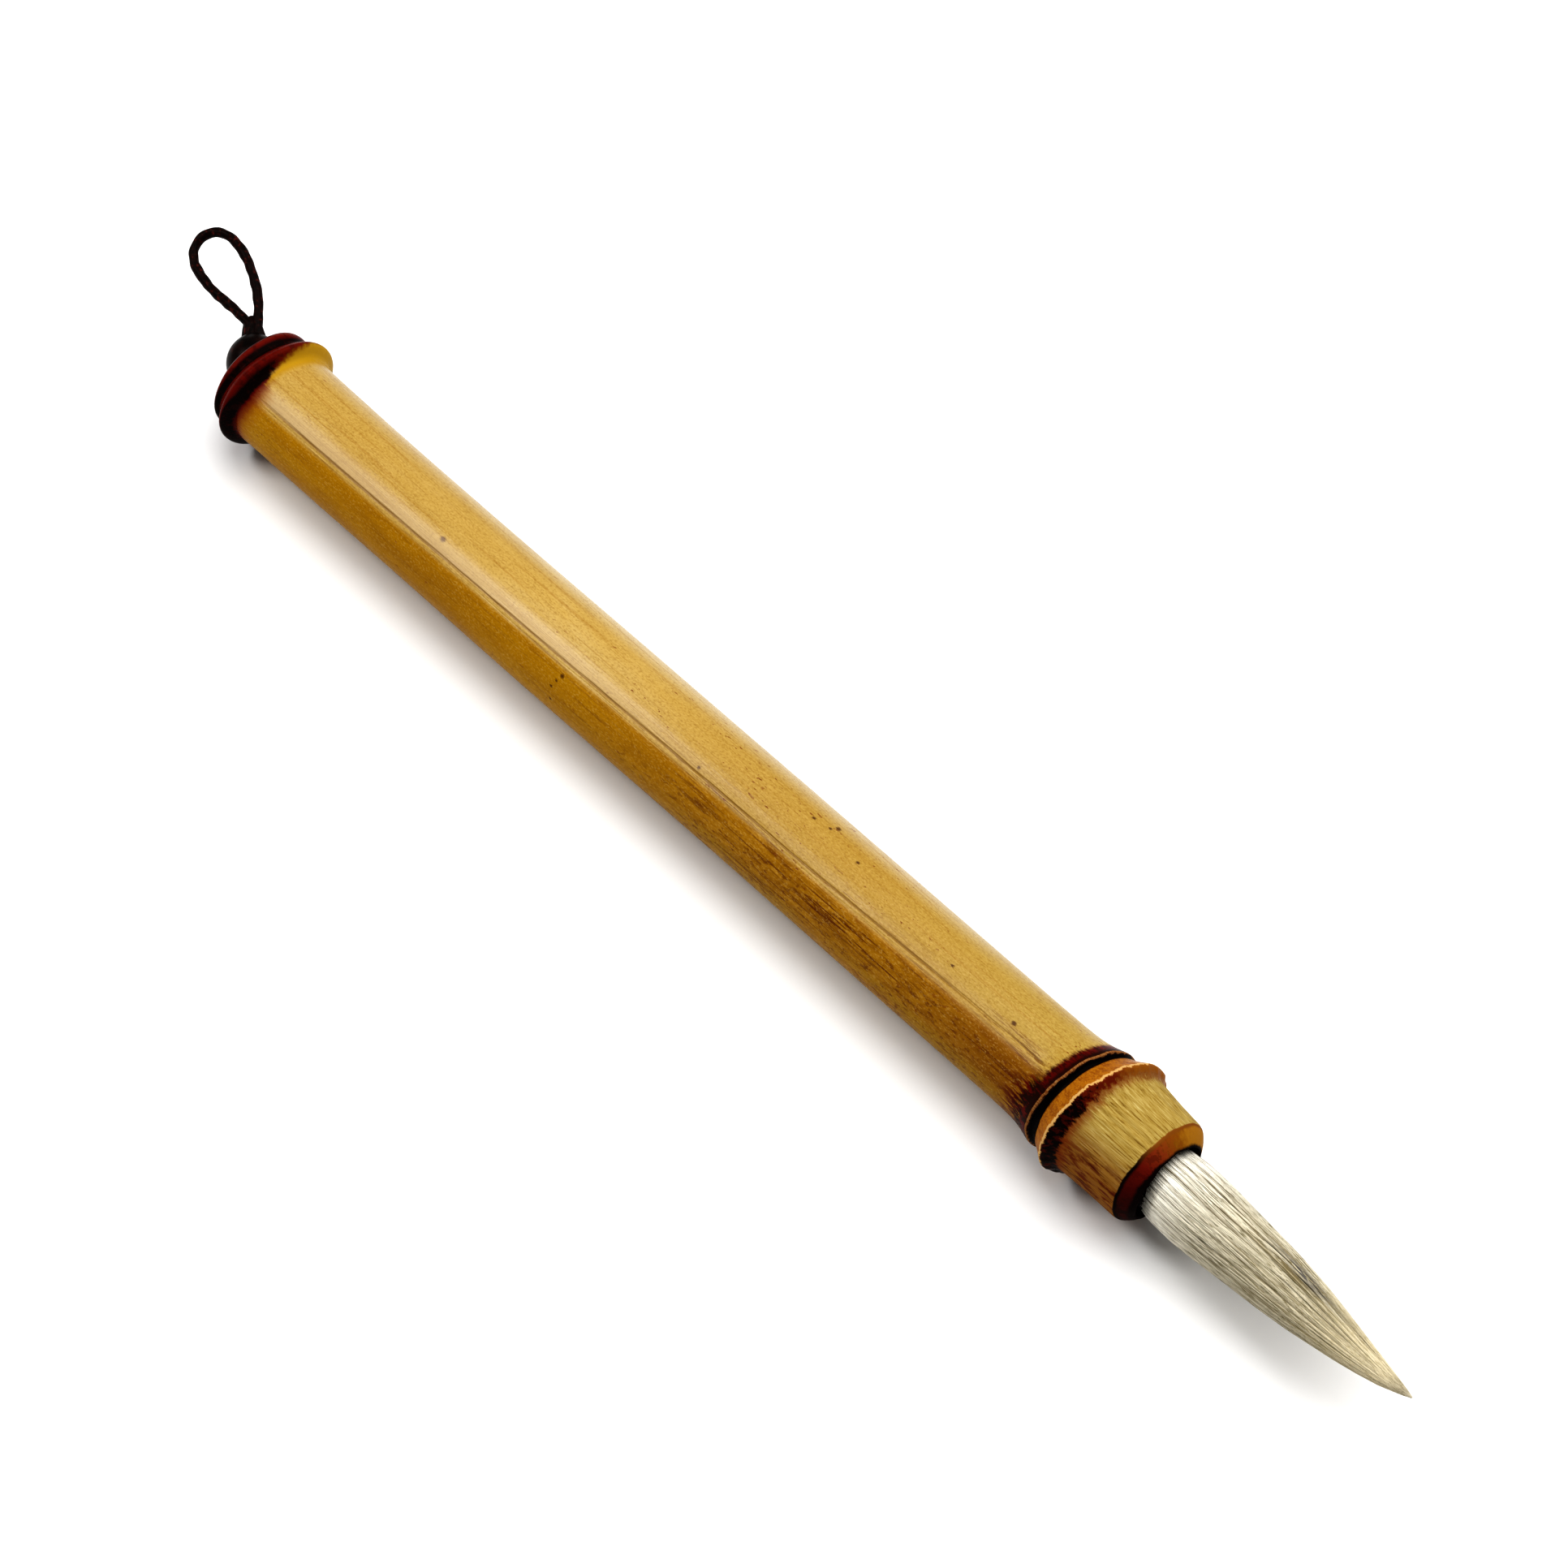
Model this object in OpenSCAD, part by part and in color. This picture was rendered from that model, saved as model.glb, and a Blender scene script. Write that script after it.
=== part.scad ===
// Bamboo calligraphy brush lying on its two node ridges.
// X runs along the brush, from the hanging loop (-X) to the tip of the hair (+X).
// Z is up, and z = 0 is the flat surface that the ridges rest on.
// Stations along the brush are measured from just beyond the end knob.

/* [Handle] */
// Diameter of the bamboo culm between its nodes
culm_d = 14; // [12:0.5:16]
// Diameter of the raised ridge at each node
ridge_d = 18; // [17:0.5:20]
// Length from the culm's cut top end to the lip of its mouth
culm_l = 182.8; // [150:1:230]
// Wall thickness of the hollow culm
wall_t = 2.4; // [1.8:0.2:3]
// Depth of the small flats worn on the ridges where the brush lies
rest_flat = 0.15; // [0.1:0.05:0.3]

/* [Mouth and socket] */
// Outer diameter of the trimmed neck at the mouth
neck_d = 14.7; // [14:0.1:15.5]
// Inner diameter of the bored socket for the hair
socket_d = 11; // [10:0.2:11.4]
// Depth of the socket behind the lip
socket_depth = 13; // [11:0.5:15]

/* [Hair] */
// Diameter of the tuft where it leaves the mouth
tuft_d = 9.8; // [8:0.2:9.8]
// Length of hair beyond the lip
tuft_l = 40.8; // [35:1:55]

/* [End knob and loop] */
// Diameter of the dark knob that closes the top end
knob_d = 7.8; // [7:0.2:8.6]
// Diameter of the waxed cord of the hanging loop
cord_d = 1.4; // [1:0.1:1.6]
// Angle of the loop's plane above the horizontal
loop_roll = 30; // [0:5:60]

/* [Hidden] */

// Circles are true curves, so this only sets the preview's smoothness.
$fn = 64;

culm_r = culm_d / 2;
ridge_r = ridge_d / 2;
neck_r = neck_d / 2;
socket_r = socket_d / 2;
tuft_r = tuft_d / 2;
knob_r = knob_d / 2;
cord_r = cord_d / 2;
cavity_r = culm_r - wall_t;

// Stations along the brush
top_end = 3.2;
lip = top_end + culm_l;
tip = lip + tuft_l;
top_ridge = top_end + 7.3;
low_ridge = lip - 11.7;
neck_land_l = 4;
chamfer_l = 1.6;
mouth_rim = lip - chamfer_l;
cavity_start = top_end + 10.8;
cavity_end = lip - socket_depth - 5;
socket_floor = lip - socket_depth;

// Height of the brush's axis above the surface
axis_z = ridge_r - rest_flat;
mid = tip / 2;

// The tuft turns about a point just outside the lip
bend_x = lip + 1.2;
bend_gap = 0.25;

// Bound root of the hair bundle, inside the socket
glue_t = 0.3;
seal_t = 0.6;
root_start = socket_floor + 0.4 + seal_t;
root_r = socket_r - glue_t;
root_end = lip - 2;
thread_r = 0.25;
thread_turns = 7;
thread_pitch = 0.52;
bound_r = root_r - 0.72;
bound_l = 4;
core_r = 2.2;

// Knob and the hole for the cord's tails
knob_x = top_end + 1.1;
stem_r = 2.2;
stem_l = 5;
knob_lean = 1.1;
tail_lean = 40;
tail_depth = 4.4;
tail_out = 1.3;
tail_gap = 0.05;
cord_sides = 8;

// The loop's route in its own plane: [along X, away from the axis], from the knob's centre.
// It leaves beside itself, swells into a teardrop and comes back.
loop_route = [
    [-4.1, 4.4], [-5.7, 6.0], [-8.1, 7.8], [-11.0, 9.3], [-13.3, 10.2], [-15.6, 10.7],
    [-17.4, 10.8], [-18.9, 10.5], [-20.1, 9.8], [-20.9, 8.8], [-21.1, 7.5], [-20.8, 6.4],
    [-19.9, 5.4], [-18.4, 4.6], [-15.9, 4.0], [-13.3, 3.7], [-10.7, 3.7], [-8.5, 3.7],
    [-6.7, 3.6], [-5.0, 3.4]
];
loop_steps = 2;

// Places a shape that is drawn round the axis, with its stations along X
module on_axis() {
    translate([-mid, 0, axis_z]) rotate([0, 90, 0]) children();
}

// Turns a half profile of [station, radius] points round the axis
module turned(profile) {
    on_axis() rotate_extrude() polygon([for (p = profile) [p[1], p[0]]]);
}

// Outer shape of the culm, from its cut top end to its lip
function culm_outline() = [
    [top_end, 0], [top_end, 2.8], [top_end + 0.9, 3.9], [top_end + 1.8, 5.1],
    [top_end + 2.4, 6.1], [top_end + 2.9, 6.9], [top_end + 3.4, 7.35], [top_end + 4.1, 7.45],
    [top_end + 4.8, 7.25], [top_end + 5.6, 7.8], [top_end + 6.4, ridge_r - 0.4],
    [top_ridge, ridge_r], [top_ridge + 0.5, ridge_r - 0.15], [top_ridge + 0.9, ridge_r - 0.65],
    [top_ridge + 1.3, culm_r + 0.85], [top_ridge + 1.9, culm_r + 0.35],
    [top_ridge + 3.5, culm_r + 0.15],
    [top_ridge + 8, culm_r + 0.05], [top_ridge + 16, culm_r], [low_ridge - 12, culm_r],
    [low_ridge - 6.5, culm_r + 0.15], [low_ridge - 4.4, culm_r + 0.6],
    [low_ridge - 3.6, culm_r + 0.95], [low_ridge - 3.3, culm_r + 0.9],
    [low_ridge - 3.2, culm_r + 0.3], [low_ridge - 2.4, culm_r + 0.3],
    [low_ridge - 2.3, culm_r + 0.75], [low_ridge - 1, ridge_r - 0.6],
    [low_ridge - 0.4, ridge_r - 0.1], [low_ridge, ridge_r], [low_ridge + 0.4, ridge_r - 0.15],
    [low_ridge + 1, ridge_r - 0.75], [low_ridge + 1.8, neck_r + 0.55],
    [mouth_rim - neck_land_l, neck_r], [mouth_rim, neck_r], [lip, socket_r + 0.1], [lip, 0]
];

// Hollow between the two nodes, rounded at the walls that close it
module cavity() {
    turned([[cavity_start, 0], [cavity_start, cavity_r - 1.5], [cavity_start + 1.5, cavity_r],
            [cavity_end - 1.5, cavity_r], [cavity_end, cavity_r - 1.5], [cavity_end, 0]]);
}

// Shallow lengthwise groove above the bud scar, on the side that faces up
module sulcus() {
    groove_r = 1.6;
    groove_depth = 0.15;
    rotated = 38;
    translate([-mid, 0, axis_z]) rotate([rotated, 0, 0])
        translate([top_ridge + 3, 0, culm_r + groove_r - groove_depth]) rotate([0, 90, 0])
            cylinder(r = groove_r, h = low_ridge - top_ridge - 8);
}

// One length of bamboo with a node at each end
module culm() {
    color([0.80, 0.62, 0.27]) difference() {
        turned(culm_outline());
        cavity();
        sulcus();
        // socket for the hair
        on_axis() translate([0, 0, socket_floor]) cylinder(r = socket_r, h = socket_depth + 1);
        // drilled hole for the knob's stem, and the seat that the knob beds into
        on_axis() cylinder(r = stem_r, h = top_end + stem_l);
        translate([knob_x - mid, 0, axis_z]) knob_place() sphere(r = knob_r);
        // flats that the brush lies on
        translate([-mid - 1, -ridge_r, -1]) cube([tip + 2, 2 * ridge_r, 1]);
    }
}

// The knob sits a little off the axis, towards the loop
module knob_place() {
    rotate([loop_roll, 0, 0]) translate([0, knob_lean, 0]) children();
}

// Carries a shape drawn along +Z from the knob's centre to the line of the cord's tails
module along_tails() {
    translate([knob_x - mid, 0, axis_z]) knob_place()
        rotate([0, 0, -tail_lean]) rotate([0, -90, 0]) children();
}

// The two tails of the cord, side by side in the knob's slanting holes
module tail_pair(start, length) {
    for (side = [-1, 1])
        along_tails() translate([0, side * (cord_r + tail_gap / 2), start])
            cylinder(r = cord_r, h = length);
}

// Dark turned knob with its stem, glued into the culm's top end
module end_knob() {
    color([0.09, 0.05, 0.04]) difference() {
        union() {
            translate([knob_x - mid, 0, axis_z]) knob_place() sphere(r = knob_r);
            on_axis() translate([0, 0, knob_x]) cylinder(r = stem_r, h = top_end + stem_l - knob_x);
        }
        tail_pair(knob_r - tail_depth, tail_depth + 1);
    }
}

// Ends of the loop's cord, glued into the knob and standing just proud of it
module loop_tails() {
    color([0.13, 0.07, 0.05]) tail_pair(knob_r - tail_depth, tail_depth + tail_out);
}

// Point on a smooth curve through four route points, with u from 0 to 1 between b and c
function smooth(a, b, c, d, u) =
    0.5 * (2 * b + (c - a) * u + (2 * a - 5 * b + 4 * c - d) * u * u
           + (3 * b - a - 3 * c + d) * u * u * u);

function clamped(list, i) = list[min(max(i, 0), len(list) - 1)];

// The route with extra points between those in the list
function fine_route(r) = concat(
    [for (i = [0 : len(r) - 2], k = [0 : loop_steps - 1])
        smooth(clamped(r, i - 1), r[i], r[i + 1], clamped(r, i + 2), k / loop_steps)],
    [r[len(r) - 1]]);

// Direction of the route at point i
function heading(r, i) =
    let (d = clamped(r, i + 1) - clamped(r, i - 1)) d / norm(d);

// One ring of the cord: across is the normal in the loop's plane
function ring(r, i) =
    let (h = heading(r, i), across = [-h[1], h[0]])
    [for (k = [0 : cord_sides - 1])
        let (a = 360 * (k + 0.5) / cord_sides, in_plane = cord_r * cos(a))
        [r[i][0] + in_plane * across[0], r[i][1] + in_plane * across[1], cord_r * sin(a)]];

// Closed tube along a route that lies in one plane
module cord_tube(r) {
    n = len(r);
    s = cord_sides;
    points = [for (i = [0 : n - 1]) each ring(r, i)];
    walls = [for (i = [0 : n - 2], k = [0 : s - 1])
        [i * s + k, (i + 1) * s + k, (i + 1) * s + (k + 1) % s, i * s + (k + 1) % s]];
    near_cap = [for (k = [0 : s - 1]) k];
    far_cap = [for (k = [s - 1 : -1 : 0]) (n - 1) * s + k];
    polyhedron(points = points, faces = concat(walls, [near_cap, far_cap]), convexity = 6);
}

// Loop of waxed cord, which swings where it leaves the tails
module hanging_loop() {
    color([0.13, 0.07, 0.05])
        translate([knob_x - mid, 0, axis_z]) knob_place()
            cord_tube(fine_route(loop_route));
}

// Adhesive that beds the bound root in the socket
module socket_glue() {
    base_t = 0.4;
    color([0.36, 0.22, 0.10]) turned([
        [socket_floor, 0], [socket_floor, socket_r], [root_end - 1, socket_r],
        [root_end - 1, root_r], [socket_floor + base_t, root_r], [socket_floor + base_t, 0]
    ]);
}

// Disc of rosin that fuses the cut ends of the hairs
module root_seal() {
    color([0.55, 0.33, 0.12]) on_axis() translate([0, 0, root_start - seal_t])
        cylinder(r = bound_r, h = seal_t);
}

// Turns of thread that bind the root
module root_binding() {
    color([0.85, 0.82, 0.74]) on_axis()
        for (turn = [0 : thread_turns - 1])
            translate([0, 0, root_start + 0.4 + turn * thread_pitch])
                rotate_extrude() translate([bound_r + thread_r + 0.02, 0]) circle(r = thread_r);
}

// Half profile of part of a ball centred on the bend, from one radius to another
function ball(r, from_r, to_r, steps = 6) =
    [for (k = [0 : steps])
        let (a0 = asin(from_r / r), a1 = asin(min(to_r / r, 1)), a = a0 + (a1 - a0) * k / steps)
        [bend_x - r * cos(a), r * sin(a)]];

// Bound, glued root of the bundle, with a hollow front that the free hair turns in
module tuft_root() {
    cup_r = tuft_r + bend_gap;
    face_r = sqrt(cup_r * cup_r - (bend_x - root_end) * (bend_x - root_end));
    color([0.86, 0.83, 0.74]) turned(concat(
        [[root_start, 0], [root_start, bound_r - 0.15], [root_start + 0.15, bound_r],
         [root_start + bound_l, bound_r], [root_start + bound_l + 0.5, root_r],
         [root_end, root_r]],
        [for (k = [6 : -1 : 0]) ball(cup_r, 0, face_r)[k]]
    ));
}

// Outer boundary of the tuft beyond the bend, as shares of its length and root radius
tuft_shape = [[0, 1], [0.17, 0.985], [0.32, 0.90], [0.46, 0.80], [0.57, 0.705], [0.67, 0.585],
              [0.77, 0.45], [0.87, 0.30], [0.95, 0.16], [1, 0.02]];
hair_l = tip - bend_x;

function tuft_point(p, shrink = 1) = [bend_x + p[0] * hair_l, p[1] * tuft_r * shrink];

// Boundary between the covering hair and the hair inside it, up to the cover's end
inner_share = 0.84;
cover_last = 7;
belly_last = 4;

// Longest hairs, which form the tip
module hair_core() {
    color([0.95, 0.91, 0.78]) turned(concat(
        ball(tuft_r, 0, core_r),
        [[tuft_point(tuft_shape[belly_last])[0], core_r]],
        [for (i = [belly_last : cover_last]) tuft_point(tuft_shape[i], inner_share)],
        [for (i = [cover_last + 1 : len(tuft_shape) - 1]) tuft_point(tuft_shape[i])],
        [[tip, 0]]
    ));
}

// Shorter hairs that fill out the belly round the core
module hair_belly() {
    belly_r = tuft_r * inner_share;
    color([0.90, 0.88, 0.80]) turned(concat(
        ball(tuft_r, core_r, belly_r),
        [for (i = [0 : belly_last]) tuft_point(tuft_shape[i], inner_share)],
        [[tuft_point(tuft_shape[belly_last])[0], core_r]]
    ));
}

// Thin coat of fine hair over the whole tuft
module hair_cover() {
    belly_r = tuft_r * inner_share;
    color([0.96, 0.95, 0.91]) turned(concat(
        ball(tuft_r, belly_r, tuft_r),
        [for (i = [1 : cover_last]) tuft_point(tuft_shape[i])],
        [for (i = [cover_last : -1 : 0]) tuft_point(tuft_shape[i], inner_share)]
    ));
}

culm();
end_knob();
loop_tails();
hanging_loop();
socket_glue();
root_seal();
root_binding();
tuft_root();
hair_core();
hair_belly();
hair_cover();
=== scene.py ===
import math

import bpy
import numpy as np
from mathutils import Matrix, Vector


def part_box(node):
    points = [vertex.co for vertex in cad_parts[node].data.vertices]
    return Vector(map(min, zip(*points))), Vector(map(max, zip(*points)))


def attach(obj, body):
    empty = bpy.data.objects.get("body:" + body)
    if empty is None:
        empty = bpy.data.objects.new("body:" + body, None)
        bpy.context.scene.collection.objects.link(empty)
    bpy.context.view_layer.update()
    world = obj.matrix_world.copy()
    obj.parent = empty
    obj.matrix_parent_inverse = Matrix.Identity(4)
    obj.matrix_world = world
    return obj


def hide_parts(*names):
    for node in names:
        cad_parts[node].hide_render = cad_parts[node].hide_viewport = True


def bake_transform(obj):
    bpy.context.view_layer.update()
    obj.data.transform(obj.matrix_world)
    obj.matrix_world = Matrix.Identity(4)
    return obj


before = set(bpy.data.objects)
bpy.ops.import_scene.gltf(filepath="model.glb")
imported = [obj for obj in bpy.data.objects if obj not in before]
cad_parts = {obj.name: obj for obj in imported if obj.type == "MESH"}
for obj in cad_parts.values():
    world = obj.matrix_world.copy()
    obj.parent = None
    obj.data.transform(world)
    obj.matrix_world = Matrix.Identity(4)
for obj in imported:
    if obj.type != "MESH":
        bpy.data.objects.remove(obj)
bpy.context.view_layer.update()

# Lengths below are in millimetres until a mesh is made, unless a comment says metres.
MM = 0.001

# -------------------- places taken from the frame

culm_low, culm_high = (np.array(corner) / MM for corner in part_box("culm"))
TOP_X = culm_low[0]
LIP_X = culm_high[0]
RIDGE_R = culm_high[1]
AXIS_Z = culm_high[2] - RIDGE_R
FLOOR_Z = culm_low[2]

# Directions across the brush. FAR points away from the camera and a little up,
# FACING points at the camera, and both are square to the brush.
ROLL = math.radians(30)
FAR = np.array([0, math.cos(ROLL), math.sin(ROLL)])
FACING = np.array([0, -math.sin(ROLL), math.cos(ROLL)])
ALONG = np.array([1.0, 0, 0])

# Stations are measured along the brush from the culm's top end.
CULM_L = LIP_X - TOP_X
RIM_S = CULM_L - 1.55
LOW_RIDGE_S = CULM_L - 11.7
SCAR_S = LOW_RIDGE_S - 3.55
SOCKET_FLOOR_S = CULM_L - 13
SOCKET_R = 5.5


def place(station, across, facing):
    """Points in millimetres from stations and offsets towards FAR and FACING."""
    station, across, facing = np.broadcast_arrays(station, across, facing)
    points = (station + TOP_X)[..., None] * ALONG + across[..., None] * FAR + facing[..., None] * FACING
    return points + np.array([0, 0, AXIS_Z])


# -------------------- small tools


def smoothstep(value, low, high):
    t = np.clip((np.asarray(value, float) - low) / (high - low), 0, 1)
    return t * t * (3 - 2 * t)


def bump_at(value, centre, width):
    """1 at centre, falling smoothly to 0 over about width on each side."""
    return np.exp(-(((np.asarray(value, float) - centre) / width) ** 2))


def even_turns(columns):
    """Turn angles of evenly spaced columns."""
    return np.arange(columns) / columns * 2 * math.pi


def ripple(turn, seed, lowest, highest, waves=7):
    """A smooth random wave round a turn, between about -1 and 1."""
    chance = np.random.default_rng(seed)
    total = 0
    for _ in range(waves):
        count = chance.integers(lowest, highest + 1)
        total = total + np.sin(count * turn + chance.uniform(0, 2 * math.pi)) * chance.uniform(0.5, 1)
    return total / (0.6 * waves**0.5 * 1.4)


def rounded(points, passes=2):
    """Cuts the corners of an open outline, keeping its ends."""
    points = np.array(points, float)
    for _ in range(passes):
        a, b = points[:-1], points[1:]
        inner = np.stack([0.75 * a + 0.25 * b, 0.25 * a + 0.75 * b], 1).reshape(-1, points.shape[1])
        points = np.vstack([points[:1], inner, points[-1:]])
    return points


def resampled(points, spacing):
    """Points along an outline, spacing(point) apart."""
    steps = np.linalg.norm(np.diff(points, axis=0), axis=1)
    middles = (points[1:] + points[:-1]) / 2
    cost = np.concatenate([[0], np.cumsum([d / spacing(m) for d, m in zip(steps, middles)])])
    wanted = np.linspace(0, cost[-1], int(math.ceil(cost[-1])) + 1)
    return np.stack([np.interp(wanted, cost, points[:, k]) for k in range(points.shape[1])], 1)


def mesh_piece(name, vertices, faces, attributes=None):
    """A mesh object from points in millimetres."""
    mesh = bpy.data.meshes.new(name)
    mesh.from_pydata((np.asarray(vertices) * MM).tolist(), [], faces)
    for key, values in (attributes or {}).items():
        layer = mesh.attributes.new(key, "FLOAT", "POINT")
        layer.data.foreach_set("value", np.asarray(values, np.float32).ravel())
    mesh.polygons.foreach_set("use_smooth", [True] * len(mesh.polygons))
    mesh.validate()
    mesh.update()
    piece = bpy.data.objects.new(name, mesh)
    bpy.context.scene.collection.objects.link(piece)
    return piece


def tube_faces(rows, columns, start=0):
    """Quads of an open tube of rows times columns points."""
    faces = []
    for i in range(rows - 1):
        for k in range(columns):
            n = (k + 1) % columns
            a, b = start + i * columns, start + (i + 1) * columns
            faces.append((a + k, b + k, b + n, a + n))
    return faces


def lathe_piece(name, rows, attributes):
    """A closed skin from rows of points round the brush, each end closed to its own centre."""
    count, columns = rows.shape[:2]
    vertices = np.vstack([rows.reshape(-1, 3), rows[0].mean(0), rows[-1].mean(0)])
    faces = tube_faces(count, columns)
    first, last = count * columns, count * columns + 1
    for k in range(columns):
        n = (k + 1) % columns
        faces.append((first, k, n))
        faces.append((last, (count - 1) * columns + n, (count - 1) * columns + k))
    full = {
        key: np.concatenate([np.ravel(v), [np.mean(v[0])], [np.mean(v[-1])]])
        for key, v in attributes.items()
    }
    return mesh_piece(name, vertices, faces, full)


def smooth_path(points, steps):
    """A Catmull-Rom curve through points, with steps to each stretch."""
    p = np.vstack([2 * points[0] - points[1], points, 2 * points[-1] - points[-2]])
    path = []
    for i in range(1, len(p) - 2):
        a, b, c, d = p[i - 1 : i + 3]
        for u in np.arange(steps) / steps:
            second = 2 * a - 5 * b + 4 * c - d
            third = 3 * b - a - 3 * c + d
            path.append(0.5 * (2 * b + (c - a) * u + second * u**2 + third * u**3))
    path.append(points[-1])
    return np.array(path)


# -------------------- materials


class Shader:
    """Builds one node material, a call at a time. Colours are linear."""

    def __init__(self, name):
        self.material = bpy.data.materials.new(name)
        self.material.use_nodes = True
        self.nodes = self.material.node_tree.nodes
        self.links = self.material.node_tree.links
        self.nodes.clear()
        output = self.nodes.new("ShaderNodeOutputMaterial")
        self.surface = self.nodes.new("ShaderNodeBsdfPrincipled")
        self.links.new(self.surface.outputs[0], output.inputs[0])

    def put(self, value, socket):
        if isinstance(value, bpy.types.NodeSocket):
            self.links.new(value, socket)
        elif isinstance(value, (tuple, list)) and len(value) == 3 and socket.type == "RGBA":
            socket.default_value = (*value, 1)
        else:
            socket.default_value = value

    def set(self, **sockets):
        """Sets the surface's sockets: base_color=... is Base Color."""
        for key, value in sockets.items():
            words = key.replace("_", " ").title().replace("Ior", "IOR")
            self.put(value, self.surface.inputs[words])

    def math(self, operation, a, b=0.0, clamp=False):
        node = self.nodes.new("ShaderNodeMath")
        node.operation = operation
        node.use_clamp = clamp
        self.put(a, node.inputs[0])
        self.put(b, node.inputs[1])
        return node.outputs[0]

    def times(self, *factors):
        product = factors[0]
        for factor in factors[1:]:
            product = self.math("MULTIPLY", product, factor)
        return product

    def plus(self, a, b):
        return self.math("ADD", a, b)

    def minus(self, a, b):
        return self.math("SUBTRACT", a, b)

    def step(self, value, low, high):
        """0 at low and 1 at high, smooth in between."""
        node = self.nodes.new("ShaderNodeMapRange")
        node.interpolation_type = "SMOOTHSTEP"
        self.put(value, node.inputs["Value"])
        node.inputs["From Min"].default_value = low
        node.inputs["From Max"].default_value = high
        return node.outputs[0]

    def mix(self, factor, a, b):
        node = self.nodes.new("ShaderNodeMix")
        node.data_type = "RGBA"
        self.put(factor, node.inputs[0])
        self.put(a, node.inputs[6])
        self.put(b, node.inputs[7])
        return node.outputs[2]

    def attribute(self, name):
        node = self.nodes.new("ShaderNodeAttribute")
        node.attribute_name = name
        return node.outputs["Fac"]

    def position(self, per_mm):
        """Place on the object times a number for each axis, in turns per millimetre."""
        where = self.nodes.new("ShaderNodeTexCoord")
        node = self.nodes.new("ShaderNodeMapping")
        node.inputs["Scale"].default_value = [s / MM for s in per_mm]
        self.links.new(where.outputs["Object"], node.inputs["Vector"])
        return node.outputs[0]

    def noise(self, per_mm, detail=3.0, roughness=0.55):
        node = self.nodes.new("ShaderNodeTexNoise")
        self.links.new(self.position(per_mm), node.inputs["Vector"])
        node.inputs["Scale"].default_value = 1
        node.inputs["Detail"].default_value = detail
        node.inputs["Roughness"].default_value = roughness
        return node.outputs[0]

    def ramp(self, factor, stops):
        """(colour, alpha) of a ramp whose stops are (place, colour) or (place, colour, alpha)."""
        node = self.nodes.new("ShaderNodeValToRGB")
        elements = node.color_ramp.elements
        for at, *_ in stops[1:-1]:
            elements.new(at)
        for element, (at, colour, *alpha) in zip(elements, stops):
            element.position = at
            element.color = (*colour, alpha[0] if alpha else 1)
        self.put(factor, node.inputs[0])
        return node.outputs[0], node.outputs[1]

    def bands(self, station, low, high, stops):
        """A ramp whose stops are places along the brush."""
        share = self.math("DIVIDE", self.math("SUBTRACT", station, low), high - low, clamp=True)
        return self.ramp(share, [((s[0] - low) / (high - low), *s[1:]) for s in stops])

    def bump(self, height, distance, strength=1.0, under=None):
        node = self.nodes.new("ShaderNodeBump")
        node.inputs["Strength"].default_value = strength
        node.inputs["Distance"].default_value = distance * MM
        self.links.new(height, node.inputs["Height"])
        if under is not None:
            self.links.new(under, node.inputs["Normal"])
        return node.outputs[0]


BLACK = (0.006, 0.002, 0.0015)
CHAR = (0.016, 0.004, 0.002)
MAROON = (0.085, 0.004, 0.002)
RED_BROWN = (0.15, 0.020, 0.004)
ORANGE = (0.33, 0.135, 0.010)
SCAR_TAN = (0.26, 0.13, 0.045)
GOLD = (0.38, 0.22, 0.012)

# Larger dark marks on the skin: (station, distance round from the groove, size)
MARKS = [
    (48.5, -1.8, 0.55), (75.9, 1.8, 0.42), (75.3, 2.8, 0.26), (74.9, 4.0, 0.30),
    (75.1, 6.0, 0.28), (100.5, -0.6, 0.34), (117.0, -5.5, 0.36), (119.5, -6.0, 0.32),
    (120.0, -6.9, 0.46), (126.0, -4.6, 0.34), (145.8, -2.0, 0.32), (157.2, -1.4, 0.44),
]


class Bamboo(Shader):
    """The handle's material, painted layer over layer.

    station is the place along the brush, far is 1 on the far side and -1 on the near side, off is the
    distance round from the lengthwise groove, and shaft and front are 1 between the nodes and off the back.
    """

    def __init__(self):
        super().__init__("bamboo_skin")
        self.station = self.attribute("station")
        self.far = self.attribute("far")
        self.off = self.attribute("off")
        self.shaft = self.attribute("shaft")
        self.front = self.step(self.off, 30, 16)
        self.fibres = self.noise((0.035, 2.4, 2.4), detail=4)
        self.fine = self.noise((0.12, 7.0, 7.0), detail=3)
        self.clouds = self.noise((0.045, 0.22, 0.22), detail=4, roughness=0.6)
        self.flames = self.noise((0.30, 1.3, 1.3), detail=5, roughness=0.65)
        self.licks = self.noise((0.26, 2.2, 2.2), detail=4, roughness=0.65)
        self.long_streaks = self.noise((0.07, 1.9, 1.9), detail=4, roughness=0.7)
        self.neck_fibres = self.noise((0.16, 4.6, 4.6), detail=5, roughness=0.7)
        self.grain = self.noise((2.4, 5.0, 5.0), detail=2)
        self.low_half = self.step(self.shaken(self.station, 30, self.clouds), 72, 118)
        self.edge = self.shaken(self.station, 0.35)
        self.scallop = self.shaken(self.shaken(self.station, 0.7), 0.9, self.licks)
        self.skin = None

    def shaken(self, value, amount, by=None):
        """A value made uneven by a noise, the flames unless another is given."""
        noise = self.flames if by is None else by
        return self.plus(value, self.times(self.minus(noise, 0.5), amount))

    def paint(self, factor, colour):
        self.skin = self.mix(factor, self.skin, colour)


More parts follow.
